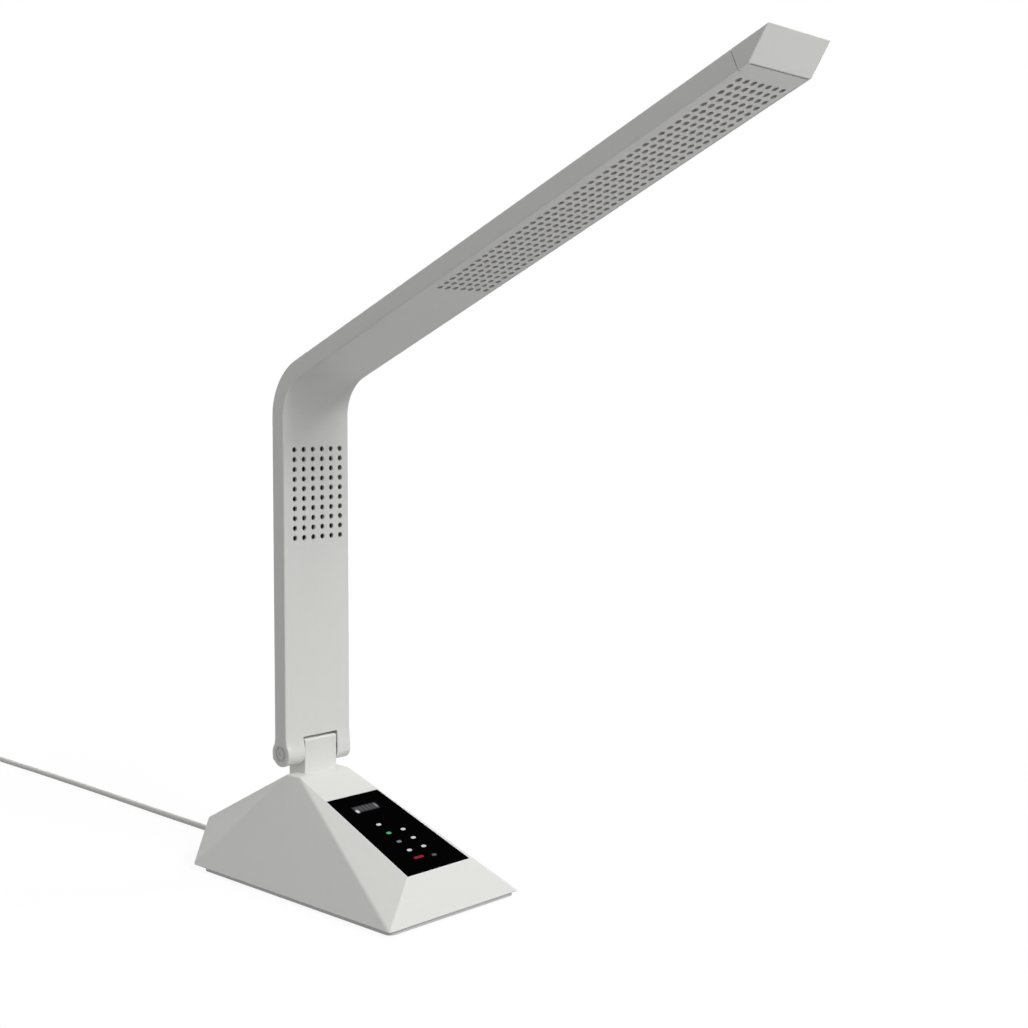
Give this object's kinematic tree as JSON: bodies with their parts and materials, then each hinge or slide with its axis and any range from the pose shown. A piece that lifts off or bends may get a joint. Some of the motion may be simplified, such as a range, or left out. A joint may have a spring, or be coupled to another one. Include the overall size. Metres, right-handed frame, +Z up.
{
  "type": "desk lamp",
  "caption": "off-white desk lamp with a faceted weighted base, glossy black touch panel and a bent flat arm whose perforated head tilts on a hinge",
  "frame": {"origin": "on the desk, under the middle of the base's lower edge", "axes": "+Z up, the head reaches towards -Y, +X to the right of someone sitting before the head"},
  "size_m": [0.097, 0.8414, 0.4346],
  "materials": {
    "body_white": "satin off-white moulded plastic",
    "cap_grey": "satin pale grey plastic",
    "cord_grey": "matt pale grey cord sleeve",
    "adapter_white": "matt white moulded plastic",
    "plate_dark": "matt dark grey plastic",
    "pad_rubber": "matt black rubber",
    "ballast_iron": "plain cast slab",
    "screw_steel": "plain zinc-plated steel",
    "pin_nickel": "nickel-plated contact pins",
    "bush_brass": "turned brass",
    "panel_black": "glossy black touch sheet",
    "display_grey": "grey display behind a clear window",
    "key_white": "small white lit windows",
    "key_green": "small green lit window",
    "key_red": "small red lit window",
    "guide_milky": "milky light guide",
    "diode_yellow": "diode packages with a yellowish face",
    "board_green": "green circuit board",
    "board_black": "black circuit board",
    "chip_dark": "dark board components",
    "washer_grey": "grey friction washers",
    "strap_dark": "dark soft strap",
    "spreader_aluminium": "plain aluminium plate",
    "lead_pale": "pale flat lead"
  },
  "bodies": {
    "base": {"base_shell": "body_white", "base_plate": "plate_dark", "foot_pad": "pad_rubber", "ballast_weight": "ballast_iron", "ballast_screws": "screw_steel", "base_screws": "screw_steel", "hinge_post": "body_white", "post_screws": "screw_steel", "post_bush": "bush_brass", "control_panel": "panel_black", "display_window": "display_grey", "key_windows": "key_white", "green_window": "key_green", "red_window": "key_red", "light_guide": "guide_milky", "lcd_module": "display_grey", "key_leds": "diode_yellow", "touch_board": "board_green", "touch_board_screws": "screw_steel", "main_board": "board_green", "main_board_parts": "chip_dark", "board_standoffs": "bush_brass", "main_board_screws": "screw_steel", "cord_gland": "cap_grey", "cord_run": "cord_grey", "cord_coil": "cord_grey", "coil_tie": "strap_dark", "adapter_body": "adapter_white", "adapter_prongs": "pin_nickel"},
    "arm": {"arm_shell": "body_white", "arm_cover": "body_white", "nose_cap": "body_white", "hinge_pin": "screw_steel", "pin_nut": "screw_steel", "spring_washer": "screw_steel", "friction_washers": "washer_grey", "cheek_bushes": "bush_brass", "hinge_caps": "cap_grey", "heat_spreader": "spreader_aluminium", "led_board": "board_black", "led_packages": "diode_yellow", "led_board_screws": "screw_steel", "driver_board": "board_green", "driver_parts": "chip_dark", "driver_screws": "screw_steel", "arm_lead": "lead_pale"}
  },
  "joints": [
    {"name": "arm_tilt", "type": "hinge", "parent": "base", "child": "arm", "pos_m": [0, 0.0339, 0.0733], "axis": [1, 0, 0], "range_deg": [-20, 45]}
  ]
}
